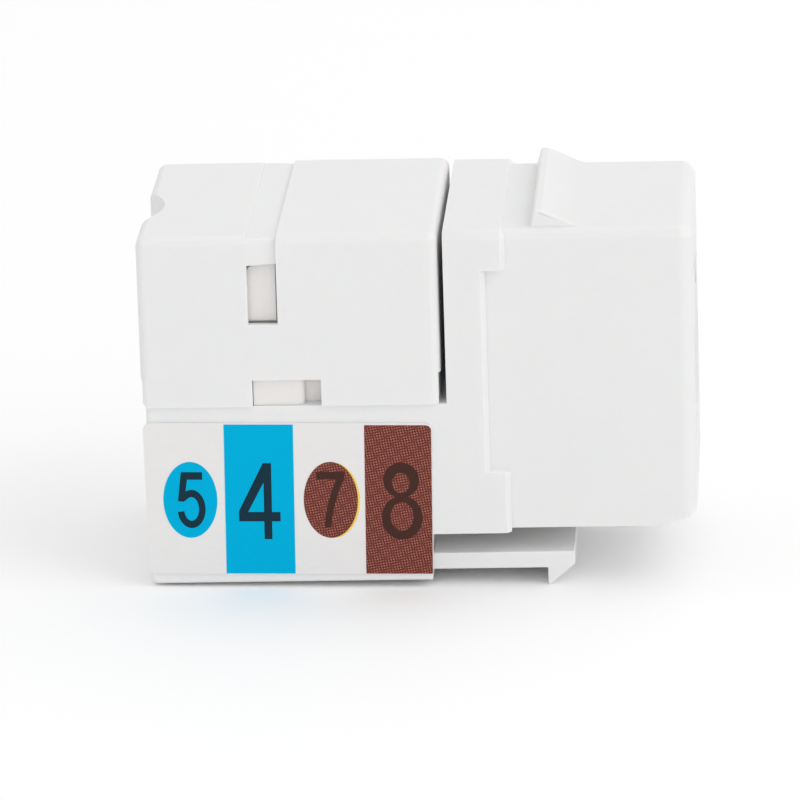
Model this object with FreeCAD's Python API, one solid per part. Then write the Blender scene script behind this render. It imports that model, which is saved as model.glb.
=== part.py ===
"""Unshielded 90 degree punch-down keystone jack, one STEP file per separate piece.

Millimetres. +X points out of the plug port, +Z from the latch arm to the fixed catch wedge.
Heights are counted from the latch hook's tip. Lengths are counted from the rear face of the
rear tray, and every piece is moved by ORIGIN_X at the end, so that the origin lies under the
middle of the assembly.
"""
import FreeCAD, Part
import math
import os

from FreeCAD import Vector

# ---- driving dimensions ------------------------------------------------------------------
FRONT_X = 29.05             # front face of the plug port
FRONT_HALF_W = 7.30         # the front section passes a standard 14.8 mm panel opening
FRONT_Z0 = 3.20
FRONT_Z1 = 19.50
FRONT_EDGE_R = 0.75         # rounding round the face of the port
LONG_EDGE_R = 0.55
NOSE_X = 27.00              # the underside rises from here to the face
NOSE_RISE = 0.80
NOSE_KNEE = 0.40            # the rise ends in a steeper facet this deep
SHOULDER_HALF_W = 7.95      # raised rear part, which stops against the panel
SHOULDER_Z0 = 3.10
SHOULDER_Z1 = 19.60
SHOULDER_X = 18.13          # front edge of the raised sides
SHOULDER_EASE = 0.25        # chamfer on the upright edges of the raised sides
SHOULDER_TOP_R = 0.50
SIDE_EDGE_Y = 7.90          # an edge further out than this is on a side face
EAR_X = 19.20               # panel stop: front face of the ears and of the top shoulder
EAR_TOP_Z = 17.50           # the ears are the full height above and below these levels
EAR_BOTTOM_Z = 6.45
REAR_WALL_X = 15.95         # back of the front section, facing the dust cap

TRAY_LENGTH = 14.95
TRAY_Z0 = 0.53
LEDGE_Z = 10.30             # top of the tray's walls, on which the cap stands
TRAY_WALL = 1.0
TRAY_CORNER_R = 0.35
TRAY_RIM_R = 0.20

PORT_HALF_W = 5.92          # 8P8C modular plug cavity
PORT_Z0 = 6.30
PORT_Z1 = 13.20
PORT_BACK_X = 17.30
TAB_HALF_W = 3.15           # slot for the plug's release tab
TAB_Z = 14.75
NOSE_HALF_W = 1.85          # narrow upper slot between the two catch shoulders
NOSE_Z = 16.10
CATCH_DEPTH = 1.55          # thickness of the catch shoulders behind the face
PORT_LEAD = 0.45            # chamfer round the mouth

WEDGE_X0 = 20.50            # fixed catch wedge on top
WEDGE_PEAK_X0 = 20.75
WEDGE_PEAK_X1 = 21.15
WEDGE_X1 = 23.20
WEDGE_Z = 20.45
WEDGE_HALF_W = 6.65
WEDGE_R = 0.18

ARM_Z0 = 0.93               # flexible latch arm
ARM_Z1 = 1.83
ARM_END_X = 22.50
ARM_HALF_W = 7.25
ARM_ROOT_X = 14.75          # centre of the rounded root
HOOK_X = 21.05
HOOK_TIP = 0.16
ARM_EDGE_R = 0.08
ARM_RAMP_Z = 1.13
ROOT_CLEARANCE = 0.03
ROOT_FLARE = 0.40           # extra height of the seat's mouth, for the arm's swing

CAP_X0 = -0.20              # dust cap
CAP_X1 = 15.67
CAP_HALF_W = 8.15
CAP_Z0 = 10.32
CAP_Z1 = 19.55
CAP_WALL = 0.95
CAP_ROOF = 1.0
CAP_CORNER_R = 0.50
CAP_RIM_R = 0.45
CAP_STEP = 0.10             # the front part of the roof stands this much proud
CHANNEL_X0 = 5.60           # shallow channel across the roof, from window to window
CHANNEL_X1 = 7.25
CHANNEL_DEPTH = 0.10
WINDOW_X0 = 5.62
WINDOW_X1 = 7.19
WINDOW_Z0 = 14.80
WINDOW_Z1 = 18.05
LEAD_DEPTH = 0.34           # the lead-in over each window slopes in by this much
NUB_GROOVE = 0.47
NOTCH_X0 = 5.71
NOTCH_X1 = 9.36
NOTCH_HEIGHT = 1.45
ARCH_R = 3.10               # cable arch in the cap's rear wall
ARCH_Z = 13.20
SCALLOP_R = 5.20            # shallow round thumb relief in the roof's rear edge
SCALLOP_Y = -1.15
SCALLOP_Z0 = 17.20
SCALLOP_DEPTH = 1.04
SCALLOP_WALL = 0.60
RIM_HEIGHT = 1.70
RIM_RELIEF = 0.12
REAR_BAND_HEIGHT = 1.52     # the rear wall is set back a little below this
REAR_BAND_X = 2.30
REAR_RELIEF = 0.08
SIDE_RELIEF = 0.03
RIM_CHAMFER = 0.22          # chamfer under the rear wall
RIB_Y0 = 5.90               # pusher ribs over the wire slots
RIB_Y1 = 6.90
RIB_Z0 = 15.60
RIB_CLEARANCE = 0.12

TOWER_HALF_W = 7.10         # punch-down towers
TOWER_INNER_Y = 3.30
TOWER_X0 = 0.85
TOWER_X1 = 14.55
TOWER_Z1 = 18.25
DECK_Z = 11.20
SLOT_X = (2.30, 4.60, 10.35, 12.65)     # wire slots, the two of a pair close together
SLOT_W = 0.90
SLOT_Z = 13.60
SLOT_FLARE = 0.45
FLARE_DEPTH = 0.90
TOWER_CHAMFER = 0.55
NUB_PROUD = 0.40
NUB_Z0 = 14.87
NUB_Z1 = 17.96
NUB_RAMP = 0.75             # height of the nub's sloping top
NUB_TOP_PROUD = 0.22
NUB_HIDDEN = 0.12           # the nub runs this far behind the window's rear edge
NUB_CORNER = 0.28
NUB_SIDE_GAP = 0.10
CORE_X0 = 8.45              # shallow recess in the wide post between the pairs
CORE_X1 = 9.40
CORE_DEPTH = 0.45
CORE_Z0 = 12.10
TAB_X0 = 5.74               # locating tab that stands in the pry notch
TAB_FACE_Y = 7.80
TAB_TOP_Z = 11.70
TAB_CORNER_R = 0.35
SEAT_GAP = 0.05             # clearance round the pieces that are pressed into the tray

BLADE_HALF_W = 0.85         # insulation-displacement blades
BLADE_T = 0.40
BLADE_Y = 5.0
BLADE_Z1 = 17.10
BLADE_GAP = 0.30            # slot between the tines
TINE_CHAMFER = 0.35         # the tines' tips slope in on both sides
TINE_TIP = 0.45
BLADE_MOUTH = 0.75          # depth of the V that leads the wire in
BLADE_ROOT = 0.60           # the slot ends this far under the wire's seat
TAIL_W = 0.60
TAIL_END = 0.60             # solder tail under the board

BOARD_X0 = 1.30             # circuit board
BOARD_X1 = 17.55
BOARD_HALF_W = 5.60
BOARD_Z0 = 4.20
BOARD_Z1 = 5.40
BOARD_SIDE = 1.20           # extra half width inside the tray
HOLE_R = 0.40

CARRIER_X0 = 17.65          # contact carrier: the floor of the port
CARRIER_X1 = 28.15
CARRIER_HALF_W = 5.60
CARRIER_Z0 = 4.20
COMB_Z = 10.20
COMB_T = 0.95
GROOVE_W = 0.62
GROOVE_DEPTH = 0.62

WIRE_PITCH = 1.02           # eight spring contacts
WIRE_W = 0.44
WIRE_T = 0.30
WIRE_COUNT = 8
WIRE_BEND = 0.52            # radius of the hairpin
WIRE_RISE = 15.0            # degrees
WIRE_REACH = 8.45
PIN_ROW_X = (15.45, 16.65)  # the solder pins stand in two staggered rows
PIN_END = 0.35              # the solder pins end this far under the board

LABEL_LENGTH = 15.22        # printed label on the near side
LABEL_HEIGHT = 8.35
LABEL_T = 0.10
LABEL_SKEW = 0.10           # its rear edge is cut out of square by this much each way
LABEL_CORNER_R = 0.40
LABEL_X = 7.46
LABEL_Z = 5.20
LABEL_TURN = 0.90           # degrees, as it was stuck on

PAST_Y = 9.0                # a cutter that ends here is clear of both sides
ORIGIN_X = -(CAP_X0 + FRONT_X) / 2


# ---- small helpers -----------------------------------------------------------------------
def block(x0, x1, y0, y1, z0, z1):
    """A box between two corners."""
    return Part.makeBox(x1 - x0, y1 - y0, z1 - z0, Vector(x0, y0, z0))


def slab(x0, x1, half_w, z0, z1):
    """A box that is symmetric about the middle plane."""
    return block(x0, x1, -half_w, half_w, z0, z1)


def both_sides(x0, x1, y0, y1, z0, z1):
    """The same box on the near side and on the far side."""
    return [block(x0, x1, y0, y1, z0, z1), block(x0, x1, -y1, -y0, z0, z1)]


def side_profile(points, y0, y1):
    """A closed outline in X and Z, extruded from y0 to y1."""
    corners = [Vector(x, y0, z) for x, z in points]
    face = Part.Face(Part.makePolygon(corners + corners[:1]))
    return face.extrude(Vector(0, y1 - y0, 0))


def front_profile(points, x0, x1):
    """A closed outline in Y and Z, extruded from x0 to x1."""
    corners = [Vector(x0, y, z) for y, z in points]
    face = Part.Face(Part.makePolygon(corners + corners[:1]))
    return face.extrude(Vector(x1 - x0, 0, 0))


def plan_profile(points, z0, z1):
    """A closed outline in X and Y, extruded from z0 to z1."""
    corners = [Vector(x, y, z0) for x, y in points]
    face = Part.Face(Part.makePolygon(corners + corners[:1]))
    return face.extrude(Vector(0, 0, z1 - z0))


def straight_edges(shape, direction, test):
    """Edges along a direction whose middle passes a test."""
    found = []
    for edge in shape.Edges:
        if len(edge.Vertexes) != 2:
            continue
        run = edge.Vertexes[1].Point - edge.Vertexes[0].Point
        if run.Length < 1e-6 or abs(abs(run.normalize().dot(direction)) - 1) > 1e-6:
            continue
        middle = edge.BoundBox.Center
        if test(middle):
            found.append(edge)
    return found


def save(name, shape):
    """Clean a solid, move it to the assembly's origin and write its STEP file."""
    solid = shape.removeSplitter()
    solid.translate(Vector(ORIGIN_X, 0, 0))
    print(name, "valid", solid.isValid(), "solids", len(solid.Solids), "volume", round(solid.Volume, 2))
    solid.exportStep("parts/" + name + ".step")


# ---- housing -----------------------------------------------------------------------------
def front_section():
    """The part that goes through the panel, with eased edges and a relief under its nose."""
    outline = [
        (REAR_WALL_X, FRONT_Z0), (NOSE_X, FRONT_Z0), (FRONT_X - NOSE_KNEE, FRONT_Z0 + NOSE_RISE / 2),
        (FRONT_X, FRONT_Z0 + NOSE_RISE),
        (FRONT_X, FRONT_Z1), (REAR_WALL_X, FRONT_Z1),
    ]
    body = side_profile(outline, -FRONT_HALF_W, FRONT_HALF_W)
    long_top = straight_edges(body, Vector(1, 0, 0), lambda p: p.z > FRONT_Z1 - 0.01)
    body = body.makeFillet(LONG_EDGE_R, long_top)
    face_edges = [
        edge for edge in body.Edges
        if edge.BoundBox.XMin > FRONT_X - 0.01 and edge.BoundBox.ZMax > FRONT_Z0 + NOSE_RISE + 0.05
    ]
    body = body.makeFillet(FRONT_EDGE_R, face_edges)
    return body


def shoulders():
    """Raised collar behind the panel: ears above and below, thinner sides between them."""
    collar = slab(REAR_WALL_X, EAR_X, SHOULDER_HALF_W, SHOULDER_Z0, SHOULDER_Z1)
    long_top = straight_edges(collar, Vector(1, 0, 0), lambda p: p.z > SHOULDER_Z1 - 0.01)
    collar = collar.makeFillet(SHOULDER_TOP_R, long_top)
    for gap in both_sides(SHOULDER_X, EAR_X + 1, FRONT_HALF_W, PAST_Y, EAR_BOTTOM_Z, EAR_TOP_Z):
        collar = collar.cut(gap)
    uprights = straight_edges(
        collar, Vector(0, 0, 1), lambda p: p.x > SHOULDER_X - 0.01 and abs(p.y) > SIDE_EDGE_Y)
    return collar.makeChamfer(SHOULDER_EASE, uprights)


def catch_wedge():
    """Fixed catch on top: steep towards the panel, a long ramp towards the front."""
    outline = [
        (WEDGE_X0, FRONT_Z1 - 0.2), (WEDGE_X0, FRONT_Z1), (WEDGE_PEAK_X0, WEDGE_Z), (WEDGE_PEAK_X1, WEDGE_Z),
        (WEDGE_X1, FRONT_Z1), (WEDGE_X1, FRONT_Z1 - 0.2),
    ]
    wedge = side_profile(outline, -WEDGE_HALF_W, WEDGE_HALF_W)
    upper = [edge for edge in wedge.Edges if edge.BoundBox.ZMax > FRONT_Z1 + 0.01]
    return wedge.makeFillet(WEDGE_R, upper)


def rear_tray():
    """Open frame behind the front section: two side walls, a rear wall and a front wall."""
    tray = slab(0, TRAY_LENGTH, SHOULDER_HALF_W, TRAY_Z0, LEDGE_Z)
    tray = tray.makeFillet(TRAY_CORNER_R, straight_edges(tray, Vector(0, 0, 1), lambda p: p.x < 0.1))
    bridge = slab(TRAY_LENGTH - 1, REAR_WALL_X + 1, SHOULDER_HALF_W, SHOULDER_Z0, LEDGE_Z)
    tray = tray.fuse(bridge)
    well = slab(TRAY_WALL, TRAY_LENGTH - TRAY_WALL, SHOULDER_HALF_W - TRAY_WALL, TRAY_Z0 - 1, LEDGE_Z + 1)
    return tray.cut(well)


def plug_port():
    """Everything that is taken out of the front section for the plug and its contacts."""
    inside_x = FRONT_X - CATCH_DEPTH
    cavity = slab(PORT_BACK_X, FRONT_X + 1, PORT_HALF_W, PORT_Z0, PORT_Z1)
    tab = slab(PORT_BACK_X, FRONT_X + 1, TAB_HALF_W, PORT_Z1 - 1, TAB_Z)
    nose = slab(PORT_BACK_X, FRONT_X + 1, NOSE_HALF_W, TAB_Z - 1, NOSE_Z)
    behind_catch = slab(PORT_BACK_X, inside_x, TAB_HALF_W, TAB_Z - 1, NOSE_Z)
    pocket = slab(PORT_BACK_X, CARRIER_X1 + 0.05, CARRIER_HALF_W + 0.05, CARRIER_Z0 - 0.05, PORT_Z0 + 1)
    return cavity.multiFuse([tab, nose, behind_catch, pocket])


def port_lead_in():
    """Chamfer round the mouth of the port."""
    reach = PORT_LEAD
    outer = FRONT_X + 0.01
    inner = FRONT_X - reach
    back = Part.makePolygon([
        Vector(inner, y, z) for y, z in (
            (-PORT_HALF_W, PORT_Z0), (PORT_HALF_W, PORT_Z0), (PORT_HALF_W, PORT_Z1), (-PORT_HALF_W, PORT_Z1),
            (-PORT_HALF_W, PORT_Z0))
    ])
    front = Part.makePolygon([
        Vector(outer, y, z) for y, z in (
            (-PORT_HALF_W - reach, PORT_Z0 - reach), (PORT_HALF_W + reach, PORT_Z0 - reach),
            (PORT_HALF_W + reach, PORT_Z1 + reach), (-PORT_HALF_W - reach, PORT_Z1 + reach),
            (-PORT_HALF_W - reach, PORT_Z0 - reach))
    ])
    return Part.makeLoft([back, front], True, True)


def root_seat():
    """Round seat in the tray's front wall for the latch arm's root."""
    radius = (ARM_Z1 - ARM_Z0) / 2 + ROOT_CLEARANCE
    middle_z = (ARM_Z0 + ARM_Z1) / 2
    axis_end = Vector(ARM_ROOT_X, -SHOULDER_HALF_W - 1, middle_z)
    seat = Part.makeCylinder(radius, 2 * SHOULDER_HALF_W + 2, axis_end, Vector(0, 1, 0))
    mouth = block(ARM_ROOT_X, TRAY_LENGTH + 1, -PAST_Y, PAST_Y, middle_z - radius, middle_z + radius)
    flare = side_profile([
        (ARM_ROOT_X, middle_z + radius), (TRAY_LENGTH + 1, middle_z + radius),
        (TRAY_LENGTH + 1, middle_z + radius + ROOT_FLARE), (ARM_ROOT_X + 0.05, middle_z + radius + 0.02),
    ], -PAST_Y, PAST_Y)
    inside = slab(ARM_ROOT_X - 1, TRAY_LENGTH + 2, ARM_HALF_W + 0.04, 0, 4)
    return seat.fuse(mouth).fuse(flare).common(inside)


def housing():
    """The one-piece moulding: front section, shoulders, catch wedge and rear tray."""
    body = front_section().multiFuse([shoulders(), catch_wedge(), rear_tray()])
    slot_x0 = TRAY_LENGTH - TRAY_WALL - 1
    board_slot = slab(slot_x0, PORT_BACK_X + 1, BOARD_HALF_W + 0.1, CARRIER_Z0 - 0.05, PORT_Z0)
    pin_pocket = slab(slot_x0, PORT_BACK_X, PORT_HALF_W - 1, BOARD_Z0 - PIN_END - 0.15, BOARD_Z1)
    body = body.cut(plug_port()).cut(port_lead_in()).cut(board_slot).cut(pin_pocket).cut(root_seat())
    base_rim = straight_edges(
        body, Vector(1, 0, 0), lambda p: p.z < TRAY_Z0 + 0.01 and abs(p.y) > SIDE_EDGE_Y)
    return body.makeFillet(TRAY_RIM_R, base_rim)


# ---- latch arm ---------------------------------------------------------------------------
def latch_arm():
    """Flat spring arm with a rounded root and a downward hook near its free end."""
    middle_z = (ARM_Z0 + ARM_Z1) / 2
    radius = (ARM_Z1 - ARM_Z0) / 2
    outline = [
        (ARM_ROOT_X, ARM_Z0), (HOOK_X, ARM_Z0), (HOOK_X, 0), (HOOK_X + HOOK_TIP, 0),
        (ARM_END_X, ARM_RAMP_Z), (ARM_END_X, ARM_Z1), (ARM_ROOT_X, ARM_Z1),
    ]
    arm = side_profile(outline, -ARM_HALF_W, ARM_HALF_W)
    across = straight_edges(arm, Vector(0, 1, 0), lambda p: p.x > HOOK_X + HOOK_TIP + 0.01)
    arm = arm.makeFillet(ARM_EDGE_R, across)
    root_end = Vector(ARM_ROOT_X, -ARM_HALF_W, middle_z)
    root = Part.makeCylinder(radius, 2 * ARM_HALF_W, root_end, Vector(0, 1, 0))
    return arm.fuse(root)


# ---- dust cap ----------------------------------------------------------------------------
def eased_box(x0, x1, z1, end_x):
    """Half of the cap's outer form: its end wall at end_x and its roof have rounded edges."""
    box = slab(x0, x1, CAP_HALF_W, CAP_Z0, z1)
    corners = straight_edges(box, Vector(0, 0, 1), lambda p: abs(p.x - end_x) < 0.01)
    box = box.makeFillet(CAP_CORNER_R, corners)
    opposite_x = x0 + x1 - end_x
    rim = [
        edge for edge in box.Edges
        if edge.BoundBox.ZMin > z1 - 0.01 and abs(edge.BoundBox.Center.x - opposite_x) > 0.01
    ]
    return box.makeFillet(CAP_RIM_R, rim)


def cap_shell():
    """Outer form with a stepped roof, and the hollow that clears the towers."""
    rear = eased_box(CAP_X0, CHANNEL_X1 + 1, CAP_Z1, CAP_X0)
    front = eased_box(CHANNEL_X1, CAP_X1, CAP_Z1 + CAP_STEP, CAP_X1)
    channel = block(CHANNEL_X0, CHANNEL_X1, -PAST_Y, PAST_Y, CAP_Z1 - CHANNEL_DEPTH, CAP_Z1 + 1)
    hollow = slab(CAP_X0 + CAP_WALL, CAP_X1 - CAP_WALL, CAP_HALF_W - CAP_WALL, CAP_Z0 - 1, CAP_Z1 - CAP_ROOF)
    return rear.fuse(front).cut(channel).cut(hollow)


def upright_cylinder(radius, z0, z1):
    """Cylinder about the scallop's upright axis, which lies behind the cap's rear wall."""
    axis_x = CAP_X0 + SCALLOP_DEPTH - SCALLOP_R
    return Part.makeCylinder(radius, z1 - z0, Vector(axis_x, SCALLOP_Y, z0), Vector(0, 0, 1))


def scallop_backing():
    """Inward bulge that keeps the rear wall's thickness behind the scallop."""
    bulge = upright_cylinder(SCALLOP_R + SCALLOP_WALL, SCALLOP_Z0 - SCALLOP_WALL, CAP_Z1 - 0.5)
    return bulge.common(slab(CAP_X0 + 0.5, CAP_X0 + 3, ARCH_R, ARCH_Z, CAP_Z1))


def cap_openings():
    """Snap windows with lead-ins and inner grooves, pry notches, rim relief and cable arch."""
    inner_y = CAP_HALF_W - CAP_WALL
    cuts = both_sides(WINDOW_X0, WINDOW_X1, inner_y - 1, PAST_Y, WINDOW_Z0, WINDOW_Z1)
    for side in (-1, 1):
        slope = [
            (WINDOW_X0, side * CAP_HALF_W), (WINDOW_X1, side * (CAP_HALF_W - LEAD_DEPTH)),
            (WINDOW_X1, side * PAST_Y), (WINDOW_X0, side * PAST_Y),
        ]
        cuts.append(plan_profile(slope, WINDOW_Z1 - 1, CAP_Z1 + 1))
    groove_x0 = WINDOW_X0 - NUB_HIDDEN - NUB_SIDE_GAP
    groove_x1 = WINDOW_X1 + NUB_SIDE_GAP
    cuts += both_sides(groove_x0, groove_x1, inner_y - 1, inner_y + NUB_GROOVE, CAP_Z0 - 1, WINDOW_Z1)
    cuts += both_sides(NOTCH_X0, NOTCH_X1, inner_y - 1, PAST_Y, CAP_Z0 - 1, CAP_Z0 + NOTCH_HEIGHT)
    cuts.append(block(CAP_X1 - RIM_RELIEF, CAP_X1 + 1, -PAST_Y, PAST_Y, CAP_Z0 - 1, CAP_Z0 + RIM_HEIGHT))
    band_z = CAP_Z0 + REAR_BAND_HEIGHT
    rear_x = CAP_X0 + REAR_RELIEF
    cuts.append(slab(CAP_X0 - 1, rear_x, PAST_Y, CAP_Z0 - 1, band_z))
    reach = RIM_CHAMFER + 1
    under = [(rear_x - 1, CAP_Z0 - 1), (rear_x + reach, CAP_Z0 - 1), (rear_x - 1, CAP_Z0 + reach)]
    cuts.append(side_profile(under, -PAST_Y, PAST_Y))
    cuts += both_sides(CAP_X0 - 1, REAR_BAND_X, CAP_HALF_W - SIDE_RELIEF, PAST_Y, CAP_Z0 - 1, band_z)
    cuts.append(slab(CAP_X0 - 1, CAP_X0 + CAP_WALL + 1, ARCH_R, CAP_Z0 - 1, ARCH_Z))
    cuts.append(Part.makeCylinder(ARCH_R, CAP_WALL + 2, Vector(CAP_X0 - 1, 0, ARCH_Z), Vector(1, 0, 0)))
    cuts.append(upright_cylinder(SCALLOP_R, SCALLOP_Z0, CAP_Z1 + 1))
    return cuts


def pusher_ribs():
    """Ribs under the roof that keep the wires down in their slots."""
    roof = CAP_Z1 - CAP_ROOF + 0.2
    half_t = SLOT_W / 2 - RIB_CLEARANCE
    ribs = []
    for x in SLOT_X:
        ribs += both_sides(x - half_t, x + half_t, RIB_Y0, RIB_Y1, RIB_Z0, roof)
    return ribs


def dust_cap():
    """The finished cap."""
    shell = cap_shell().fuse(scallop_backing())
    for cutter in cap_openings():
        shell = shell.cut(cutter)
    return shell.multiFuse(pusher_ribs())


# ---- terminal block ----------------------------------------------------------------------
def wire_slot(x):
    """One wire slot with a flared mouth, through both tower rows."""
    half = SLOT_W / 2
    outline = [
        (-half, SLOT_Z), (half, SLOT_Z), (half, TOWER_Z1 - FLARE_DEPTH), (half + SLOT_FLARE, TOWER_Z1 + 0.1),
        (-half - SLOT_FLARE, TOWER_Z1 + 0.1), (-half, TOWER_Z1 - FLARE_DEPTH),
    ]
    return side_profile([(x + dx, z) for dx, z in outline], -PAST_Y, PAST_Y)


def snap_nub(side):
    """Wedge on the outer face of a tower row that clicks into the cap's window."""
    face_y = TOWER_HALF_W
    proud = TOWER_HALF_W + NUB_PROUD
    outline = [
        (face_y - 0.3, NUB_Z0), (proud, NUB_Z0), (proud, NUB_Z1 - NUB_RAMP), (face_y + NUB_TOP_PROUD, NUB_Z1),
        (face_y - 0.3, NUB_Z1),
    ]
    x0 = WINDOW_X0 - NUB_HIDDEN
    x1 = WINDOW_X1 - NUB_SIDE_GAP
    nub = front_profile([(side * y, z) for y, z in outline], x0, x1)
    leg = NUB_CORNER + NUB_HIDDEN
    corner = [(x0 - 1, NUB_Z1 + 1), (x0 - 1, NUB_Z1 - leg - 1), (x0 + leg + 1, NUB_Z1 + 1)]
    nub = nub.cut(side_profile(corner, -PAST_Y, PAST_Y))
    buttress = block(x0, x1 + 0.1, min(side * face_y, side * (face_y - 0.3)),
                     max(side * (face_y + 0.02), side * (face_y - 0.3)), DECK_Z, NUB_Z0)
    return nub.fuse(buttress)


def terminal_block():
    """Moulding that holds the blades: base in the tray, flange on its ledge, two tower rows."""
    gap = SEAT_GAP
    inset = TRAY_WALL + gap
    base = slab(inset, TRAY_LENGTH - inset, SHOULDER_HALF_W - inset, BOARD_Z1, LEDGE_Z + 0.5)
    flange = slab(TOWER_X0, TOWER_X1, TOWER_HALF_W, LEDGE_Z, DECK_Z)
    body = base.fuse(flange)
    for row in both_sides(TOWER_X0, TOWER_X1, TOWER_INNER_Y, TOWER_HALF_W, DECK_Z - 0.5, TOWER_Z1):
        top_edges = straight_edges(row, Vector(1, 0, 0), lambda p: p.z > TOWER_Z1 - 0.01)
        body = body.fuse(row.makeChamfer(TOWER_CHAMFER, top_edges))
    for x in SLOT_X:
        body = body.cut(wire_slot(x))
    core_y = TOWER_HALF_W - CORE_DEPTH
    for core in both_sides(CORE_X0, CORE_X1, core_y, PAST_Y, CORE_Z0, TOWER_Z1 - 1.2):
        body = body.cut(core)
    for side in (-1, 1):
        body = body.fuse(snap_nub(side))
    for tab in both_sides(TAB_X0, CORE_X0, TOWER_HALF_W - 0.2, TAB_FACE_Y, LEDGE_Z, TAB_TOP_Z):
        front_edge = straight_edges(
            tab, Vector(0, 0, 1), lambda p: p.x > CORE_X0 - 0.01 and abs(p.y) > TAB_FACE_Y - 0.01)
        body = body.fuse(tab.makeFillet(TAB_CORNER_R, front_edge))
    pocket_w = BLADE_HALF_W + 0.05
    pocket_t = BLADE_T / 2 + 0.05
    for x in SLOT_X:
        for y in (-BLADE_Y, BLADE_Y):
            pocket = block(x - pocket_w, x + pocket_w, y - pocket_t, y + pocket_t, BOARD_Z1 - 1, TOWER_Z1 + 1)
            body = body.cut(pocket)
    return body


# ---- contacts, board and carrier ---------------------------------------------------------
def idc_blade(x, y):
    """Slotted blade with a V mouth, two tines above and a solder tail below."""
    tine = BLADE_GAP / 2
    outline = [
        (-BLADE_HALF_W, BOARD_Z1 + 0.1), (-TAIL_W / 2, BOARD_Z1 + 0.1), (-TAIL_W / 2, BOARD_Z0 - TAIL_END),
        (TAIL_W / 2, BOARD_Z0 - TAIL_END), (TAIL_W / 2, BOARD_Z1 + 0.1), (BLADE_HALF_W, BOARD_Z1 + 0.1),
        (BLADE_HALF_W, BLADE_Z1 - TINE_TIP), (BLADE_HALF_W - TINE_CHAMFER, BLADE_Z1),
        (tine, BLADE_Z1 - BLADE_MOUTH),
        (tine, SLOT_Z - BLADE_ROOT), (-tine, SLOT_Z - BLADE_ROOT), (-tine, BLADE_Z1 - BLADE_MOUTH),
        (-BLADE_HALF_W + TINE_CHAMFER, BLADE_Z1), (-BLADE_HALF_W, BLADE_Z1 - TINE_TIP),
    ]
    return side_profile([(x + dx, z) for dx, z in outline], y - BLADE_T / 2, y + BLADE_T / 2)


def wire_y(index):
    """Sideways place of one spring contact."""
    return (index - (WIRE_COUNT - 1) / 2) * WIRE_PITCH


def pin_x(index):
    """Lengthwise place of one solder pin."""
    return PIN_ROW_X[index % 2]


def spring_contact(index):
    """Flat wire: pin through the board, run along a groove, hairpin, and a rising contact arm."""
    run_z = PORT_Z0 - 0.42
    bend = WIRE_BEND
    nose_x = CARRIER_X1 - 1.0
    start = Vector(pin_x(index), 0, BOARD_Z0 - PIN_END)
    top = Vector(pin_x(index), 0, run_z)
    nose = Vector(nose_x, 0, run_z)
    rise = math.radians(WIRE_RISE)
    turn_top = Vector(nose_x - bend * math.sin(rise), 0, run_z + bend + bend * math.cos(rise))
    turn_side = Vector(nose_x + bend * math.cos(rise / 2), 0, run_z + bend + bend * math.sin(rise / 2) * 0.2)
    reach = WIRE_REACH
    tip = turn_top + Vector(-reach * math.cos(rise), 0, reach * math.sin(rise) * 0.78)
    path = Part.Wire([
        Part.LineSegment(start, top).toShape(),
        Part.LineSegment(top, nose).toShape(),
        Part.Arc(nose, turn_side, turn_top).toShape(),
        Part.LineSegment(turn_top, tip).toShape(),
    ])
    outline = path.makeOffset2D(WIRE_T / 2, 2, False, False)
    strip = Part.Face(outline)
    y = wire_y(index)
    strip.translate(Vector(0, y - WIRE_W / 2, 0))
    return strip.extrude(Vector(0, WIRE_W, 0))


def circuit_board():
    """Board under the towers, notched round the carrier, with a hole for every tail and pin."""
    board = slab(BOARD_X0, BOARD_X1, BOARD_HALF_W, BOARD_Z0, BOARD_Z1)
    wide = slab(BOARD_X0, TRAY_LENGTH - TRAY_WALL - 0.1, BOARD_HALF_W + BOARD_SIDE, BOARD_Z0, BOARD_Z1)
    board = board.fuse(wide)
    places = [(x, y) for x in SLOT_X for y in (-BLADE_Y, BLADE_Y)]
    places += [(pin_x(index), wire_y(index)) for index in range(WIRE_COUNT)]
    for x, y in places:
        board = board.cut(Part.makeCylinder(HOLE_R, 3, Vector(x, y, BOARD_Z0 - 1), Vector(0, 0, 1)))
    return board


def contact_carrier():
    """Insert under the port: eight grooves for the wires and a comb that parts their tips."""
    deck_z = PORT_Z0 - 0.05
    body = slab(CARRIER_X0, CARRIER_X1, CARRIER_HALF_W, CARRIER_Z0, deck_z)
    comb = slab(CARRIER_X0, CARRIER_X0 + COMB_T, CARRIER_HALF_W, deck_z - 0.5, COMB_Z)
    body = body.fuse(comb)
    for index in range(WIRE_COUNT):
        y = wire_y(index)
        half = GROOVE_W / 2
        floor_z = deck_z - GROOVE_DEPTH
        groove = block(CARRIER_X0 - 1, CARRIER_X1 - 0.2, y - half, y + half, floor_z, deck_z + 0.5)
        gap = block(CARRIER_X0 - 1, CARRIER_X0 + COMB_T + 1, y - half, y + half, deck_z, COMB_Z - 0.5)
        body = body.cut(groove).cut(gap)
    return body


def base_cover():
    """Plate pressed into the bottom of the tray, with ribs that carry the board."""
    gap = SEAT_GAP
    x0 = TRAY_WALL + gap
    x1 = TRAY_LENGTH - TRAY_WALL - gap
    half = SHOULDER_HALF_W - TRAY_WALL - gap
    plate = slab(x0, x1, half, TRAY_Z0 + 0.05, TRAY_Z0 + 1.15)
    ribs = both_sides(x0 + 0.3, x1 - 0.3, half - 0.95, half - 0.15, TRAY_Z0 + 1.0, BOARD_Z0)
    return plate.multiFuse(ribs)


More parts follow.
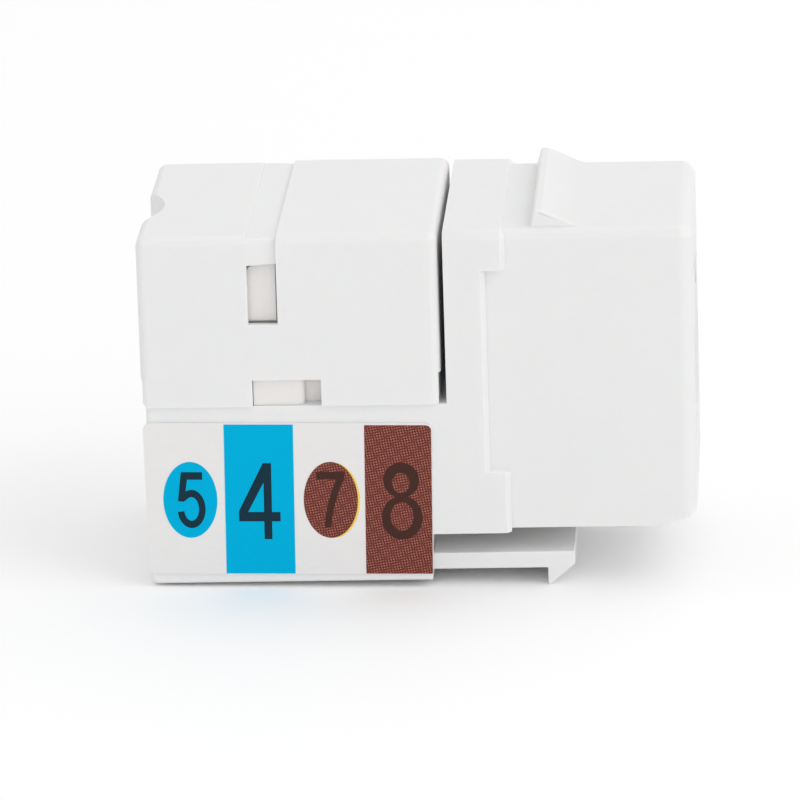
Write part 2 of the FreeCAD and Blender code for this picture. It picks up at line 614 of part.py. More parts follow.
# ---- label -------------------------------------------------------------------------------
def wiring_label():
    """Paper label with rounded corners, stuck on slightly turned."""
    half_l = LABEL_LENGTH / 2
    half_h = LABEL_HEIGHT / 2
    face_y = -SHOULDER_HALF_W
    outline = [
        (-half_l - LABEL_SKEW, half_h), (-half_l + LABEL_SKEW, -half_h), (half_l, -half_h), (half_l, half_h),
    ]
    label = side_profile(outline, face_y - LABEL_T, face_y)
    label = label.makeFillet(LABEL_CORNER_R, straight_edges(label, Vector(0, 1, 0), lambda p: True))
    label.rotate(Vector(0, 0, 0), Vector(0, 1, 0), LABEL_TURN)
    label.translate(Vector(LABEL_X, 0, LABEL_Z))
    return label


def main():
    """Build and write every piece."""
    os.makedirs("parts", exist_ok=True)
    save("housing", housing())
    save("latch_arm", latch_arm())
    save("dust_cap", dust_cap())
    save("terminal_block", terminal_block())
    save("wiring_label", wiring_label())
    save("circuit_board", circuit_board())
    save("contact_carrier", contact_carrier())
    save("base_cover", base_cover())
    for index in range(WIRE_COUNT):
        save("spring_contact_" + str(index + 1), spring_contact(index))
    number = 1
    for y in (-BLADE_Y, BLADE_Y):
        for x in SLOT_X:
            save("idc_terminal_" + str(number), idc_blade(x, y))
            number += 1


main()
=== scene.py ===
"""Looks of a white punch-down wall jack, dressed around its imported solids.

Everything is in metres and in the part's own frame: +X points out of the plug port and +Z
from the latch arm to the fixed catch wedge. Sizes are written in millimetres, times MM.
"""
import logging
import math
from dataclasses import dataclass
from enum import Enum

import bmesh
import bpy
import numpy as np
from mathutils import Matrix, Vector
from mathutils.geometry import tessellate_polygon


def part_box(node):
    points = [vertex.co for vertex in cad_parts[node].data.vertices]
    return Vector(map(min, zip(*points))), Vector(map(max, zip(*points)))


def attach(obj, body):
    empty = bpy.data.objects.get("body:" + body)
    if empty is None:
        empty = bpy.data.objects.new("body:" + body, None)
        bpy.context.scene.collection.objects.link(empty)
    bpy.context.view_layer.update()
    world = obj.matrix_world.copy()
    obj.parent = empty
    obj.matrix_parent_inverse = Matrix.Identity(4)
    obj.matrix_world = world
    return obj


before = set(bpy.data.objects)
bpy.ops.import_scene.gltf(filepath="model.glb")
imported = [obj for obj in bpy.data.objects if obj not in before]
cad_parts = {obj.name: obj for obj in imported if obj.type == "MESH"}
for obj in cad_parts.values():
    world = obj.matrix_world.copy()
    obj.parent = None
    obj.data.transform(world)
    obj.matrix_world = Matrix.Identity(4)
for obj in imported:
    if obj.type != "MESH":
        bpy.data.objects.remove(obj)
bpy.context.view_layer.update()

MM = 0.001
BODY = "jack_body"
log = logging.getLogger("jack")

Colour = tuple[float, float, float, float]
Pair = tuple[float, float]
Outline = np.ndarray


# ---- shared helpers ----------------------------------------------------------------------
def linear(hex_colour: str) -> Colour:
    """Turns an sRGB hex colour into linear light.

    Each channel c is c / 12.92 up to 0.04045, and ((c + 0.055) / 1.055) to the power 2.4 above.

    Args:
        hex_colour: Six hex digits, with or without a leading #.
    Returns:
        Linear red, green and blue, and an alpha of 1.
    """
    digits = hex_colour.lstrip("#")
    srgb = np.array([int(digits[i:i + 2], 16) for i in (0, 2, 4)]) / 255
    light = np.where(srgb <= 0.04045, srgb / 12.92, ((srgb + 0.055) / 1.055) ** 2.4)
    return (*light.tolist(), 1.0)


def add_node(tree: bpy.types.NodeTree, kind: str, inputs: dict | None = None,
             **settings: object) -> bpy.types.Node:
    """Adds one node with its settings and its links.

    Args:
        tree: The tree that gets the node.
        kind: The node's class, such as "ShaderNodeTexNoise".
        inputs: For an input's name or number, its value or the output socket that feeds it.
        settings: Attributes of the node itself.
    Returns:
        The new node.
    """
    node = tree.nodes.new(kind)
    for name, value in settings.items():
        setattr(node, name, value)
    for key, value in (inputs or {}).items():
        if isinstance(value, bpy.types.NodeSocket):
            tree.links.new(value, node.inputs[key])
        else:
            node.inputs[key].default_value = value
    return node


def new_material(name: str) -> tuple[bpy.types.Material, bpy.types.NodeTree]:
    """Makes an empty node material.

    Args:
        name: The material's name.
    Returns:
        The material and its node tree.
    """
    material = bpy.data.materials.new(name)
    material.use_nodes = True
    material.node_tree.nodes.clear()
    return material, material.node_tree


def finish_material(tree: bpy.types.NodeTree, shader: bpy.types.Node) -> None:
    """Links a shader to the material's output.

    Args:
        tree: The material's node tree.
        shader: The node whose first output is the surface.
    """
    add_node(tree, "ShaderNodeOutputMaterial", {"Surface": shader.outputs[0]})


def dress(name: str, material: bpy.types.Material) -> bpy.types.Object:
    """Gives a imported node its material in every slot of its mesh.

    Args:
        name: The node's name.
        material: What it is made of.
    Returns:
        The node's object.
    """
    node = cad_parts[name]
    if not node.material_slots:
        node.data.materials.append(material)
    for place in node.material_slots:
        place.material = material
    log.info("%s: dressed in %s", name, material.name)
    return node


# ---- finishes ----------------------------------------------------------------------------
class MouldTexture(Enum):
    """How the mould's own surface was finished: grain in mm, and how deep it prints, in mm.

    The grain of a real eroded mould is about half as wide. It is drawn this coarse so that it
    still shows at arm's length.
    """

    SPARK_ERODED = (0.11, 0.0016)
    FINE_ERODED = (0.08, 0.0009)
    STONED = (0.20, 0.0005)


@dataclass(frozen=True)
class MouldedPlastic:
    """Injection-moulded thermoplastic, coloured through with titanium white.

    The pigment scatters light a little way in, so thin edges glow and shaded corners stay soft.
    The eroded mould breaks up its reflections, so broad faces look matt and even.
    """

    name: str
    colour: str
    shade: str
    roughness: float
    texture: MouldTexture
    scatter_mm: float = 0.15
    scatter_colour: tuple[float, float, float] = (1.0, 0.85, 0.72)
    cloud_mm: float = 3.5
    wave_mm: float = 7.7

    def material(self) -> bpy.types.Material:
        """Builds the material.

        Returns:
            Principled plastic: a faint pigment cloud in the colour, and a two-scale bump of
            mould grain and slow shrinkage waves.
        """
        material, tree = new_material(self.name)
        grain_mm, depth_mm = self.texture.value
        where = add_node(tree, "ShaderNodeTexCoord").outputs["Object"]
        cloud = add_node(tree, "ShaderNodeTexNoise", {
            "Vector": where, "Scale": 1 / (self.cloud_mm * MM), "Detail": 3.0, "Roughness": 0.55})
        tint = add_node(tree, "ShaderNodeMix", {
            0: cloud.outputs["Fac"], 6: linear(self.shade), 7: linear(self.colour)},
            data_type="RGBA")
        grain = add_node(tree, "ShaderNodeTexNoise", {
            "Vector": where, "Scale": 1 / (grain_mm * MM), "Detail": 2.0, "Roughness": 0.6})
        sheen = add_node(tree, "ShaderNodeMapRange", {
            "Value": grain.outputs["Fac"], "From Min": 0.3, "From Max": 0.7,
            "To Min": self.roughness - 0.05, "To Max": self.roughness + 0.05})
        waves = add_node(tree, "ShaderNodeTexNoise", {
            "Vector": where, "Scale": 1 / (self.wave_mm * MM), "Detail": 1.0})
        slow = add_node(tree, "ShaderNodeBump", {
            "Height": waves.outputs["Fac"], "Strength": 0.2, "Distance": 0.02 * MM})
        fine = add_node(tree, "ShaderNodeBump", {
            "Height": grain.outputs["Fac"], "Strength": 0.8, "Distance": depth_mm * MM,
            "Normal": slow.outputs["Normal"]})
        shader = add_node(tree, "ShaderNodeBsdfPrincipled", {
            "Base Color": tint.outputs[2], "Roughness": sheen.outputs["Result"], "IOR": 1.53,
            "Specular IOR Level": 0.3,
            "Subsurface Weight": 0.8, "Subsurface Radius": self.scatter_colour,
            "Subsurface Scale": self.scatter_mm * MM, "Normal": fine.outputs["Normal"]})
        finish_material(tree, shader)
        return material


@dataclass(frozen=True)
class CoatedPaper:
    """White coated label stock, die cut, printed on a flat-bed press.

    The clay coating evens out the fibres, so only a faint lengthwise mottle and a dull sheen are left.
    """

    name: str = "coated_label_paper"
    colour: str = "#F2F0EF"
    shade: str = "#EDEBEA"
    fibre_mm: float = 0.25

    def material(self) -> bpy.types.Material:
        """Builds the material.

        Returns:
            Principled paper with stretched fibre noise in colour and bump.
        """
        material, tree = new_material(self.name)
        where = add_node(tree, "ShaderNodeTexCoord").outputs["Object"]
        along = add_node(tree, "ShaderNodeMapping", {"Vector": where, "Scale": (0.35, 1.0, 1.0)})
        fibre = add_node(tree, "ShaderNodeTexNoise", {
            "Vector": along.outputs[0], "Scale": 1 / (self.fibre_mm * MM), "Detail": 4.0})
        tint = add_node(tree, "ShaderNodeMix", {
            0: fibre.outputs["Fac"], 6: linear(self.shade), 7: linear(self.colour)},
            data_type="RGBA")
        bump = add_node(tree, "ShaderNodeBump", {
            "Height": fibre.outputs["Fac"], "Strength": 0.5, "Distance": 0.002 * MM})
        shader = add_node(tree, "ShaderNodeBsdfPrincipled", {
            "Base Color": tint.outputs[2], "Roughness": 0.6, "IOR": 1.48, "Specular IOR Level": 0.3,
            "Normal": bump.outputs["Normal"]})
        finish_material(tree, shader)
        return material


@dataclass(frozen=True)
class ScreenedInk:
    """Process ink laid down in a halftone screen.

    Two dot screens, turned against each other, cross in the film, so a mixed colour shows as
    small bright and dark dots, and a solid colour shows only a trace of them. The pitches are
    those of a press screen of about 180 and 165 lines to the inch.
    """

    name: str
    colour: str
    bright_dot: str
    dark_dot: str
    pitch_mm: float = 0.14
    turn_deg: float = 8.0
    dark_pitch_mm: float = 0.155
    softness: float = 0.65
    second_turn_deg: float = 15.0
    roughness: float = 0.5
    gloss: float = 0.03

    def dots(self, tree: bpy.types.NodeTree, where: bpy.types.NodeSocket, pitch_mm: float,
             turn: float) -> bpy.types.NodeSocket:
        """One dot screen: the cosine across plus the cosine along, cut off low and raised to 0..1.

        Args:
            tree: The material's node tree.
            where: Object coordinates.
            pitch_mm: Distance between neighbouring dots.
            turn: Angle of the screen in degrees.
        Returns:
            A value that is 1 in the middle of each dot and 0 between the dots.
        """
        turned = add_node(tree, "ShaderNodeMapping", {
            "Vector": where, "Rotation": (0.0, math.radians(turn), 0.0),
            "Scale": (2 * math.pi / (pitch_mm * MM),) * 3})
        axes = add_node(tree, "ShaderNodeSeparateXYZ", {0: turned.outputs[0]})
        across, along = (
            add_node(tree, "ShaderNodeMath", {0: axes.outputs[axis]}, operation="COSINE")
            for axis in ("X", "Z"))
        both = add_node(tree, "ShaderNodeMath", {0: across.outputs[0], 1: along.outputs[0]},
                        operation="ADD")
        level = add_node(tree, "ShaderNodeMapRange", {
            "Value": both.outputs[0], "From Min": 1.0 - 2.0 * self.softness, "From Max": 2.0})
        return level.outputs["Result"]

    def material(self) -> bpy.types.Material:
        """Builds the material.

        Returns:
            Principled ink whose colour is the solid ink, mixed with both dot screens.
        """
        material, tree = new_material(self.name)
        where = add_node(tree, "ShaderNodeTexCoord").outputs["Object"]
        bright = self.dots(tree, where, self.pitch_mm, self.turn_deg)
        dark = self.dots(tree, where, self.dark_pitch_mm, self.turn_deg + self.second_turn_deg)
        lit = add_node(tree, "ShaderNodeMix", {
            0: bright, 6: linear(self.colour), 7: linear(self.bright_dot)}, data_type="RGBA")
        film = add_node(tree, "ShaderNodeMix", {
            0: dark, 6: lit.outputs[2], 7: linear(self.dark_dot)}, data_type="RGBA")
        shader = add_node(tree, "ShaderNodeBsdfPrincipled", {
            "Base Color": film.outputs[2], "Roughness": self.roughness, "IOR": 1.48,
            "Specular IOR Level": self.gloss})
        finish_material(tree, shader)
        return material


@dataclass(frozen=True)
class PlatedMetal:
    """Thin plating on rolled copper alloy strip.

    Fine rolling lines run along the strip, and the plating's own grain dulls the reflections.
    """

    name: str
    colour: str
    shade: str
    roughness: float
    line_mm: float = 0.06

    def material(self) -> bpy.types.Material:
        """Builds the material.

        Returns:
            Principled metal with stretched rolling lines in roughness, colour and bump.
        """
        material, tree = new_material(self.name)
        where = add_node(tree, "ShaderNodeTexCoord").outputs["Object"]
        along = add_node(tree, "ShaderNodeMapping", {"Vector": where, "Scale": (0.06, 1.0, 1.0)})
        lines = add_node(tree, "ShaderNodeTexNoise", {
            "Vector": along.outputs[0], "Scale": 1 / (self.line_mm * MM), "Detail": 3.0})
        tint = add_node(tree, "ShaderNodeMix", {
            0: lines.outputs["Fac"], 6: linear(self.shade), 7: linear(self.colour)},
            data_type="RGBA")
        sheen = add_node(tree, "ShaderNodeMapRange", {
            "Value": lines.outputs["Fac"],
            "To Min": self.roughness - 0.06, "To Max": self.roughness + 0.1})
        bump = add_node(tree, "ShaderNodeBump", {
            "Height": lines.outputs["Fac"], "Strength": 0.4, "Distance": 0.001 * MM})
        shader = add_node(tree, "ShaderNodeBsdfPrincipled", {
            "Base Color": tint.outputs[2], "Metallic": 1.0, "Roughness": sheen.outputs["Result"],
            "Normal": bump.outputs["Normal"]})
        finish_material(tree, shader)
        return material


@dataclass(frozen=True)
class GlassEpoxy:
    """Glass-epoxy board under a green solder mask.

    The woven glass shows through the mask as a faint square weave.
    """

    name: str = "glass_epoxy_board"
    mask: str = "#1F6B3E"
    weave: str = "#2C7F4C"
    thread_mm: float = 0.5

    def material(self) -> bpy.types.Material:
        """Builds the material.

        Returns:
            Principled laminate with two crossed thread waves in colour and bump.
        """
        material, tree = new_material(self.name)
        where = add_node(tree, "ShaderNodeTexCoord").outputs["Object"]
        scale = math.pi / (10 * self.thread_mm * MM)
        warp, weft = (
            add_node(tree, "ShaderNodeTexWave", {"Vector": where, "Scale": scale},
                     bands_direction=way)
            for way in ("X", "Y"))
        both = add_node(tree, "ShaderNodeMath", {0: warp.outputs["Fac"], 1: weft.outputs["Fac"]},
                        operation="MULTIPLY")
        tint = add_node(tree, "ShaderNodeMix", {
            0: both.outputs[0], 6: linear(self.mask), 7: linear(self.weave)}, data_type="RGBA")
        bump = add_node(tree, "ShaderNodeBump", {
            "Height": both.outputs[0], "Strength": 0.3, "Distance": 0.01 * MM})
        shader = add_node(tree, "ShaderNodeBsdfPrincipled", {
            "Base Color": tint.outputs[2], "Roughness": 0.35, "IOR": 1.55,
            "Normal": bump.outputs["Normal"]})
        finish_material(tree, shader)
        return material


@dataclass(frozen=True)
class EdgeEasing:
    """The small radius that a mould's sharp edges leave on a plastic piece.

    Where a piece has facets finer than the radius, Blender holds the radius down to a hairline,
    which still keeps the flat faces flat in the shading and the rounded ones smooth.
    """

    radius_mm: float
    steps: int = 2
    sharp_deg: float = 28.0
    flat_deg: float = 0.4
    join_mm: float = 0.0005

    def apply_to(self, piece: bpy.types.Object) -> None:
        """Adds the modifiers that join the loose triangles, clear flat faces and round the edges.

        Args:
            piece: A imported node. Its own mesh stays as it is.
        """
        weld = piece.modifiers.new("join_triangles", "WELD")
        weld.merge_threshold = self.join_mm * MM
        flat = piece.modifiers.new("clear_flat_faces", "DECIMATE")
        flat.decimate_type = "DISSOLVE"
        flat.angle_limit = math.radians(self.flat_deg)
        ease = piece.modifiers.new("ease_edges", "BEVEL")
        ease.width = self.radius_mm * MM
        ease.segments = self.steps
        ease.limit_method = "ANGLE"
        ease.angle_limit = math.radians(self.sharp_deg)
        ease.use_clamp_overlap = True
        ease.harden_normals = False
        even = piece.modifiers.new("even_shading", "WEIGHTED_NORMAL")
        even.keep_sharp = False


# ---- outlines of the print ---------------------------------------------------------------
def arc(centre: Pair, half: Pair, start: float, end: float, steps: int) -> Outline:
    """Points of an elliptic arc.

    Each is the centre plus half-width times the cosine and half-height times the sine.

    Args:
        centre: The ellipse's middle.
        half: Its half-width and half-height.
        start: First angle in degrees, from +u towards +v.
        end: Last angle in degrees.
        steps: How many points.
    Returns:
        An array of points, one row each.
    """
    angle = np.radians(np.linspace(start, end, steps))
    return np.array(centre) + np.stack([half[0] * np.cos(angle), half[1] * np.sin(angle)], axis=1)


def oval(centre: Pair, half: Pair, steps: int = 72) -> Outline:
    """A whole ellipse as a closed outline, without its last point repeated."""
    return arc(centre, half, 0.0, 360.0 * (1 - 1 / steps), steps)


def rounded_field(u0: float, u1: float, v0: float, v1: float, radii: tuple[float, ...]) -> Outline:
    """A rectangle with a quarter circle at each corner.

    Args:
        u0, u1: Left and right edges.
        v0, v1: Bottom and top edges.
        radii: Corner radii from bottom right, counter-clockwise.
    Returns:
        The closed outline.
    """
    corners = ((u1, v0, -1, 1, -90), (u1, v1, -1, -1, 0), (u0, v1, 1, -1, 90), (u0, v0, 1, 1, 180))
    quarters = [
        arc((u + r * du, v + r * dv), (r, r), turn, turn + 90, 7)
        for (u, v, du, dv, turn), r in zip(corners, radii)
    ]
    return np.concatenate(quarters)


def reach(origin: Pair, centre: Pair, half: Pair, angle: np.ndarray) -> np.ndarray:
    """How far rays from a point inside an ellipse run before they leave it.

    With the ray scaled so that the ellipse is the unit circle, the distance t solves
    (o + t d) . (o + t d) = 1, and the larger root is taken.

    Args:
        origin: Where the rays start.
        centre: The ellipse's middle.
        half: Its half-width and half-height.
        angle: Directions in radians.
    Returns:
        The distances.
    """
    start = (np.array(origin) - np.array(centre)) / np.array(half)
    step = np.stack([np.cos(angle) / half[0], np.sin(angle) / half[1]], axis=1)
    a = (step ** 2).sum(1)
    b = step @ start
    c = start @ start - 1
    return (-b + np.sqrt(b * b - a * c)) / a


@dataclass(frozen=True)
class Numeral:
    """A condensed sans-serif digit as closed outlines in mm: one solid, then its holes."""

    name: str
    rings: tuple[Outline, ...]


def numeral_4(u0: float, v0: float, width: float, height: float) -> Numeral:
    """The digit 4: one polygon with a triangular hole.

    Args:
        u0, v0: Bottom left corner.
        width, height: Size of the digit.
    Returns:
        The digit.
    """
    stem_l, stem_r = 0.605, 0.795
    bar_lo, bar_hi = 0.234, 0.357
    solid = np.array([
        (stem_l, 0), (stem_r, 0), (stem_r, bar_lo), (1, bar_lo), (1, bar_hi), (stem_r, bar_hi),
        (stem_r, 1), (stem_l - 0.01, 1), (0, bar_hi + 0.015), (0, bar_lo), (stem_l, bar_lo)])
    hole = np.array([(stem_l, bar_hi), (0.22, bar_hi), (stem_l, 0.745)])
    size = np.array((width, height))
    return Numeral("digit_four", (solid * size + (u0, v0), hole * size + (u0, v0)))


def numeral_5(u: float, v: float) -> Numeral:
    """The digit 5: a flag, a leaning stem and an open bowl between two ellipses.

    Args:
        u, v: Middle of the bowl.
    Returns:
        The digit.
    """
    outer = (0.745, 1.06)
    inner = (0.395, 0.655)
    flag = np.array([(-0.532, 2.036), (-0.715, 0.43), (-0.40, 0.40)]) + (u, v)
    hollow = arc((u, v), inner, 122.0, -169.0, 40)
    bowl = arc((u, v), outer, -171.0, 114.0, 52)
    top = np.array([(-0.213, 1.62), (0.598, 1.62), (0.598, 2.036)]) + (u, v)
    return Numeral("digit_five", (np.concatenate([flag, hollow, bowl, top]),))


def numeral_7(u0: float, v0: float, width: float, height: float) -> Numeral:
    """The digit 7: a bar, and a stem whose two edges bend down as quadratic curves.

    A quadratic curve is (1-t)^2 a + 2t(1-t) b + t^2 c.

    Args:
        u0, v0: Bottom left corner of the digit's box.
        width, height: Size of the digit.
    Returns:
        The digit.
    """
    t = np.linspace(0, 1, 14)[:, None]

    def bend(a: tuple, b: tuple, c: tuple) -> Outline:
        """One quadratic curve from a to c, drawn towards b."""
        return (1 - t) ** 2 * np.array(a) + 2 * t * (1 - t) * np.array(b) + t ** 2 * np.array(c)

    right = bend((0.50, 0.0), (0.55, 0.42), (1.0, 0.89))
    left = bend((0.71, 0.865), (0.33, 0.46), (0.265, 0.0))
    bar = np.array([(1.0, 1.0), (0.0, 1.0), (0.0, 0.865)])
    shape = np.concatenate([right, bar, left])
    return Numeral("digit_seven", (shape * (width, height) + (u0, v0),))


def numeral_8(u: float, v: float) -> Numeral:
    """The digit 8: two ellipses seen as one from the waist between them, with a hole in each.

    From the waist, the outline is the longer of the two rays through the ellipses.

    Args:
        u, v: The waist.
    Returns:
        The digit.
    """
    upper, upper_half = (u - 0.013, v + 0.914), (0.95, 0.97)
    lower, lower_half = (u + 0.02, v - 1.163), (1.08, 1.212)
    angle = np.radians(np.arange(0.0, 360.0, 4.0))
    far = np.maximum(reach((u, v), upper, upper_half, angle),
                     reach((u, v), lower, lower_half, angle))
    solid = np.array((u, v)) + far[:, None] * np.stack([np.cos(angle), np.sin(angle)], axis=1)
    upper_hole = oval((u - 0.027, v + 0.76), (0.465, 0.568), 40)
    lower_hole = oval((u + 0.013, v - 1.094), (0.605, 0.796), 40)
    return Numeral("digit_eight", (solid, upper_hole, lower_hole))


# ---- the label ---------------------------------------------------------------------------
class InkLayer(Enum):
    """Order of the inks over the paper, in steps of one film."""

    UNDER = 1
    FIELD = 2
    DIGIT = 3


@dataclass
class WiringLabel:
    """Paper label on the near side, printed with two colour fields, two ovals and four digits."""

    turn_deg: float = 0.90
    centre_x: float = -6.965
    centre_z: float = 5.20
    film_mm: float = 0.006
    field_low: float = -4.145
    blue_high: float = 4.105
    brown_high: float = 4.07
    blue_span: Pair = (-3.41, 0.265)
    brown_span: Pair = (4.03, 7.57)
    blue_corners: tuple[float, ...] = (0.02, 0.02, 0.02, 0.02)
    brown_corners: tuple[float, ...] = (0.06, 0.30, 0.02, 0.02)
    oval_half: Pair = (1.435, 2.10)
    blue_oval: Pair = (-5.255, -0.06)
    brown_oval: Pair = (2.205, -0.055)
    yellow_oval: Pair = (2.315, -0.075)  # out of register with the brown one

    paper: CoatedPaper = CoatedPaper()
    cyan: ScreenedInk = ScreenedInk(
        "cyan_process_ink", "#00B5E3", "#06BCE9", "#00ADDC")
    brown: ScreenedInk = ScreenedInk(
        "brown_process_ink", "#743934", "#BE8270", "#602A2A")
    yellow: ScreenedInk = ScreenedInk(
        "yellow_process_ink", "#FBD95F", "#FFE680", "#F2C84A")
    black_on_cyan: ScreenedInk = ScreenedInk(
        "black_over_cyan_ink", "#1E3846", "#223F4F", "#1A313D")
    black_on_brown: ScreenedInk = ScreenedInk(
        "black_over_brown_ink", "#4B302B", "#573A33", "#41302A")

    def place(self, ring: Outline) -> np.ndarray:
        """Turns label coordinates into the part's X and Z.

        Args:
            ring: Points along (u) and up (v) the label, in mm.
        Returns:
            Points in metres.
        """
        c, s = math.cos(math.radians(self.turn_deg)), math.sin(math.radians(self.turn_deg))
        turned = ring @ np.array([[c, -s], [s, c]])
        return (turned + (self.centre_x, self.centre_z)) * MM

    def film(self, name: str, rings: tuple[Outline, ...], layer: InkLayer,
             ink: bpy.types.Material) -> None:
        """Makes one printed shape as a thin closed film.

        Each outline is carried straight through the film's thickness, and both faces are filled.

        Args:
            name: The piece's name.
            rings: The outline, then its holes, in label coordinates.
            layer: Which ink layer it is.
            ink: Its material.
        """
        paper_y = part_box("wiring_label")[0].y
        front_y = paper_y - layer.value * self.film_mm * MM
        placed = [self.place(ring) for ring in rings]
        flat = np.concatenate(placed)
        count = len(flat)
        points = np.empty((2 * count, 3))
        points[:, 0], points[:, 2] = np.tile(flat[:, 0], 2), np.tile(flat[:, 1], 2)
        points[:count, 1], points[count:, 1] = front_y, paper_y
        loops = [np.pad(ring, ((0, 0), (0, 1))).tolist() for ring in placed]
        caps = np.array(tessellate_polygon(loops))
        faces = [*caps.tolist(), *(caps[:, ::-1] + count).tolist()]
        first = 0
        for ring in placed:
            here = first + np.arange(len(ring))
            after = first + (np.arange(len(ring)) + 1) % len(ring)
            faces += np.stack([here, after, after + count, here + count], axis=1).tolist()
            first += len(ring)
        mesh = bpy.data.meshes.new(name)
        mesh.from_pydata(points, [], faces)
        shell = bmesh.new()
        shell.from_mesh(mesh)
        bmesh.ops.recalc_face_normals(shell, faces=shell.faces)
        shell.to_mesh(mesh)
        shell.free()
        mesh.materials.append(ink)
        piece = bpy.data.objects.new(name, mesh)
        bpy.context.scene.collection.objects.link(piece)
        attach(piece, BODY)
        log.info("%s: %d points, %d faces", name, len(points), len(faces))

    def build(self) -> None:
        """Dresses the paper and prints the fields, ovals and digits on it."""
        dress("wiring_label", self.paper.material())
        cyan, brown, yellow = (ink.material() for ink in (self.cyan, self.brown, self.yellow))
        on_cyan, on_brown = self.black_on_cyan.material(), self.black_on_brown.material()
        low = self.field_low
        blue_field = rounded_field(*self.blue_span, low, self.blue_high, self.blue_corners)
        brown_field = rounded_field(*self.brown_span, low, self.brown_high, self.brown_corners)
        prints = (
            ("print_blue_field", blue_field, InkLayer.FIELD, cyan),
            ("print_brown_field", brown_field, InkLayer.FIELD, brown),
            ("print_blue_oval", oval(self.blue_oval, self.oval_half), InkLayer.FIELD, cyan),
            ("print_yellow_oval", oval(self.yellow_oval, self.oval_half), InkLayer.UNDER, yellow),
            ("print_brown_oval", oval(self.brown_oval, self.oval_half), InkLayer.FIELD, brown),
        )
        for name, outline, layer, ink in prints:
            self.film(name, (outline,), layer, ink)
        digits = (
            (numeral_5(-5.20, -0.56), on_cyan), (numeral_4(-2.68, -2.23, 2.20, 4.21), on_cyan),
            (numeral_7(1.47, -1.59, 1.48, 3.09), on_brown), (numeral_8(5.96, 0.13), on_brown),
        )
        for digit, ink in digits:
            self.film(digit.name, digit.rings, InkLayer.DIGIT, ink)


# ---- the mouldings -----------------------------------------------------------------------
@dataclass
class Mouldings:
    """The white mouldings: housing, latch arm, dust cap, terminal block, carrier and base cover."""

    body: MouldedPlastic = MouldedPlastic(
        "white_moulded_abs", "#F3F3F3", "#F1F1F1", 0.48, MouldTexture.SPARK_ERODED)
    cap: MouldedPlastic = MouldedPlastic(
        "white_moulded_cap_abs", "#F3F3F3", "#F2F2F2", 0.45, MouldTexture.FINE_ERODED)
    # Painted light: the terminal block's colour is lighter and warmer than the housing's. The extra
    # lightness and the warm tint stand in for warm bounced light on it, in the shade of the cap's
    # windows and notch.
    tower: MouldedPlastic = MouldedPlastic(
        "white_moulding_painted_warm_light", "#F5F2F0", "#F3EFEC", 0.40, MouldTexture.STONED, 0.2)
    edge: EdgeEasing = EdgeEasing(0.07)

    def build(self) -> None:
        """Dresses every moulding and eases its sharp edges."""
        body, cap, tower = self.body.material(), self.cap.material(), self.tower.material()
        for name, material in (
                ("housing", body), ("latch_arm", body), ("base_cover", body), ("dust_cap", cap),
                ("terminal_block", tower), ("contact_carrier", tower)):
            piece = dress(name, material)
            self.edge.apply_to(piece)


# ---- the metal and the board -------------------------------------------------------------
@dataclass
class Conductors:
    """Spring contacts, insulation-displacement blades and the board that joins them."""

    count: int = 8
    gold: PlatedMetal = PlatedMetal("gold_plated_phosphor_bronze", "#F0C463", "#D9A548", 0.22)
    tin: PlatedMetal = PlatedMetal("tin_plated_phosphor_bronze", "#D5D4D0", "#B9B8B4", 0.36)
    board: GlassEpoxy = GlassEpoxy()

    def build(self) -> None:
        """Dresses the contacts, the blades and the board."""
        gold, tin = self.gold.material(), self.tin.material()
        for number in range(1, self.count + 1):
            dress(f"spring_contact_{number}", gold)
            dress(f"idc_terminal_{number}", tin)
        dress("circuit_board", self.board.material())


# ---- studio ------------------------------------------------------------------------------
@dataclass(frozen=True)
class SoftBox:
    """A rectangular lamp that points at the middle of the part."""

    name: str
    azimuth: float
    elevation: float
    distance: float
    size: Pair
    watts: float
    colour: str = "#FFFFFF"

    def build(self, target: Vector) -> None:
        """Adds the lamp.

        Args:
            target: The point that it faces.
        """
        a, e = math.radians(self.azimuth), math.radians(self.elevation)
        out = Vector((math.sin(a) * math.cos(e), -math.cos(a) * math.cos(e), math.sin(e)))
        data = bpy.data.lights.new(self.name, "AREA")
        data.shape = "RECTANGLE"
        data.size, data.size_y = self.size
        data.energy = self.watts
        data.color = linear(self.colour)[:3]
        lamp = bpy.data.objects.new(self.name, data)
        lamp.location = target + out * self.distance
        lamp.rotation_euler = (-out).to_track_quat("-Z", "Y").to_euler()
        bpy.context.scene.collection.objects.link(lamp)


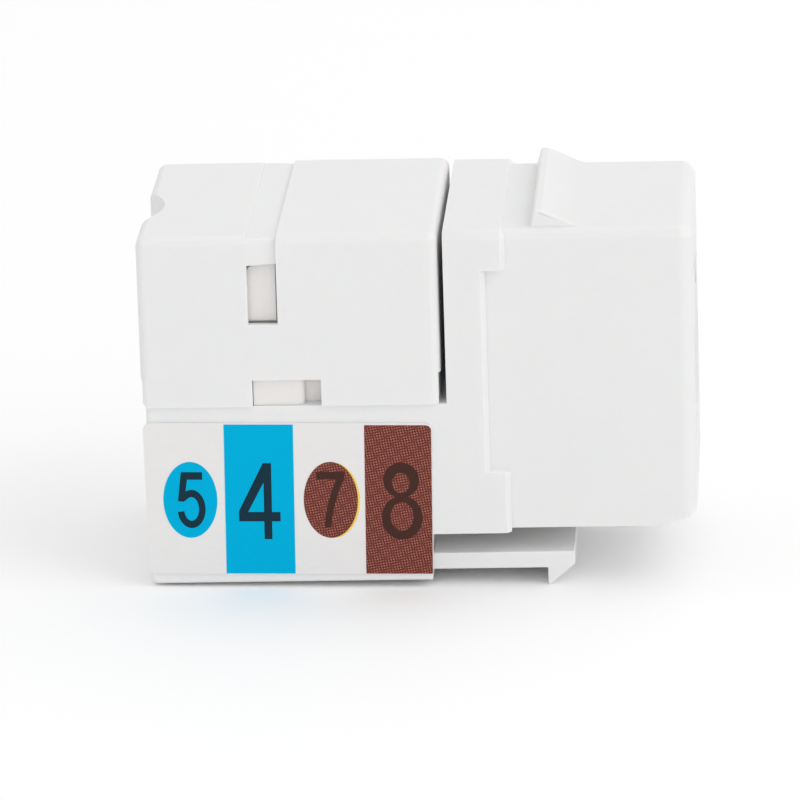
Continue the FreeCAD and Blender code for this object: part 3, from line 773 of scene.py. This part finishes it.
@dataclass
class Studio:
    """Camera, plain white floor, soft lamps and a white surround."""

    azimuth: float = 3.368
    elevation: float = 16.212
    roll: float = -1.798
    distance: float = 397.6 * MM
    target: tuple[float, float, float] = (-1.399 * MM, 0.0, 8.219 * MM)
    lens: float = 332.1
    floor_size: float = 3.0
    floor_drop: float = 0.01 * MM
    floor_cloud_mm: float = 25.0
    floor_paint: str = "#FBFBFB"
    floor_to_eye: float = 1.12  # the table reads as an evenly lit white sweep, a little over white
    front_foot: Pair = (6.70 * MM, 0.0)
    rear_foot: Pair = (-14.425 * MM, 0.40 * MM)
    surround: float = 0.68
    lamps: tuple[SoftBox, ...] = (
        SoftBox("key", 60.0, 40.0, 0.9, (0.7, 0.7), 1.65),
        SoftBox("front", 3.0, 14.0, 1.0, (0.8, 0.5), 1.00),
        SoftBox("back", 150.0, 55.0, 0.9, (0.9, 0.9), 1.10),
    )

    def camera(self) -> None:
        """Places the camera from its bearing, its height angle and its roll."""
        a, e = math.radians(self.azimuth), math.radians(self.elevation)
        back = Vector((math.sin(a) * math.cos(e), -math.cos(a) * math.cos(e), math.sin(e)))
        right = Vector((math.cos(a), math.sin(a), 0.0))
        up = back.cross(right)
        roll = Matrix.Rotation(math.radians(self.roll), 3, "Z")
        turn = Matrix((right, up, back)).transposed() @ roll
        data = bpy.data.cameras.new("camera")
        data.lens = self.lens
        data.sensor_width = 36.0
        data.clip_start, data.clip_end = 0.01, 20.0
        camera = bpy.data.objects.new("camera", data)
        place = Matrix.Translation(Vector(self.target) + back * self.distance)
        camera.matrix_world = place @ turn.to_4x4()
        bpy.context.scene.collection.objects.link(camera)
        bpy.context.scene.camera = camera

    def floor(self) -> None:
        """Lays the floor under the latch's hook, and a hair's breadth under the tray's rear."""
        (x1, z1), (x0, z0) = self.front_foot, self.rear_foot
        slope = math.atan2(z1 - z0, x1 - x0)
        half = self.floor_size / 2
        sheet = np.array([(-half, -half), (half, -half), (half, half), (-half, half)])
        x = sheet[:, 0] * math.cos(slope) + x1
        z = sheet[:, 0] * math.sin(slope) + z1 - self.floor_drop
        mesh = bpy.data.meshes.new("floor")
        mesh.from_pydata(np.stack([x, sheet[:, 1], z], axis=1), [], [(0, 1, 2, 3)])
        material, tree = new_material("white_table_top")
        where = add_node(tree, "ShaderNodeTexCoord").outputs["Object"]
        cloud = add_node(tree, "ShaderNodeTexNoise", {
            "Vector": where, "Scale": 1 / (self.floor_cloud_mm * MM), "Detail": 3.0})
        rough = add_node(tree, "ShaderNodeMapRange", {
            "Value": cloud.outputs["Fac"], "To Min": 0.55, "To Max": 0.65})
        seen = add_node(tree, "ShaderNodeLightPath")
        paint = add_node(tree, "ShaderNodeMix", {
            0: seen.outputs["Is Camera Ray"], 6: linear(self.floor_paint),
            7: (*[self.floor_to_eye] * 3, 1.0)}, data_type="RGBA")
        table = add_node(tree, "ShaderNodeBsdfPrincipled", {
            "Base Color": paint.outputs[2], "Roughness": rough.outputs["Result"], "IOR": 1.45,
            "Specular IOR Level": 0.1})
        finish_material(tree, table)
        mesh.materials.append(material)
        plane = bpy.data.objects.new("floor", mesh)
        bpy.context.scene.collection.objects.link(plane)

    def world(self) -> None:
        """A white surround to the eye and in reflections, and an even soft light on the part."""
        world = bpy.data.worlds.new("surround")
        world.use_nodes = True
        tree = world.node_tree
        tree.nodes.clear()
        path = add_node(tree, "ShaderNodeLightPath")
        seen = path.outputs["Is Camera Ray"]
        for ray in ("Is Glossy Ray", "Is Transmission Ray"):
            seen = add_node(tree, "ShaderNodeMath", {0: seen, 1: path.outputs[ray]},
                            operation="MAXIMUM").outputs[0]
        soft, white = (
            add_node(tree, "ShaderNodeBackground", {
                "Color": linear("#FFFFFF"), "Strength": strength})
            for strength in (self.surround, 1.0))
        mix = add_node(tree, "ShaderNodeMixShader", {
            0: seen, 1: soft.outputs[0], 2: white.outputs[0]})
        add_node(tree, "ShaderNodeOutputWorld", {"Surface": mix.outputs[0]})
        bpy.context.scene.world = world

    def build(self) -> None:
        """Sets up the view, the floor, the lamps and the surround."""
        self.camera()
        self.floor()
        for lamp in self.lamps:
            lamp.build(Vector(self.target))
        self.world()
        bpy.context.scene.view_settings.view_transform = "Standard"
        log.info("studio: %d lamps", len(self.lamps))


def main() -> None:
    """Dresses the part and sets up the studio."""
    logging.basicConfig(level=logging.INFO, format="%(name)s: %(message)s")
    for group in (Mouldings(), Conductors(), WiringLabel(), Studio()):
        group.build()


if __name__ == "__main__":
    main()
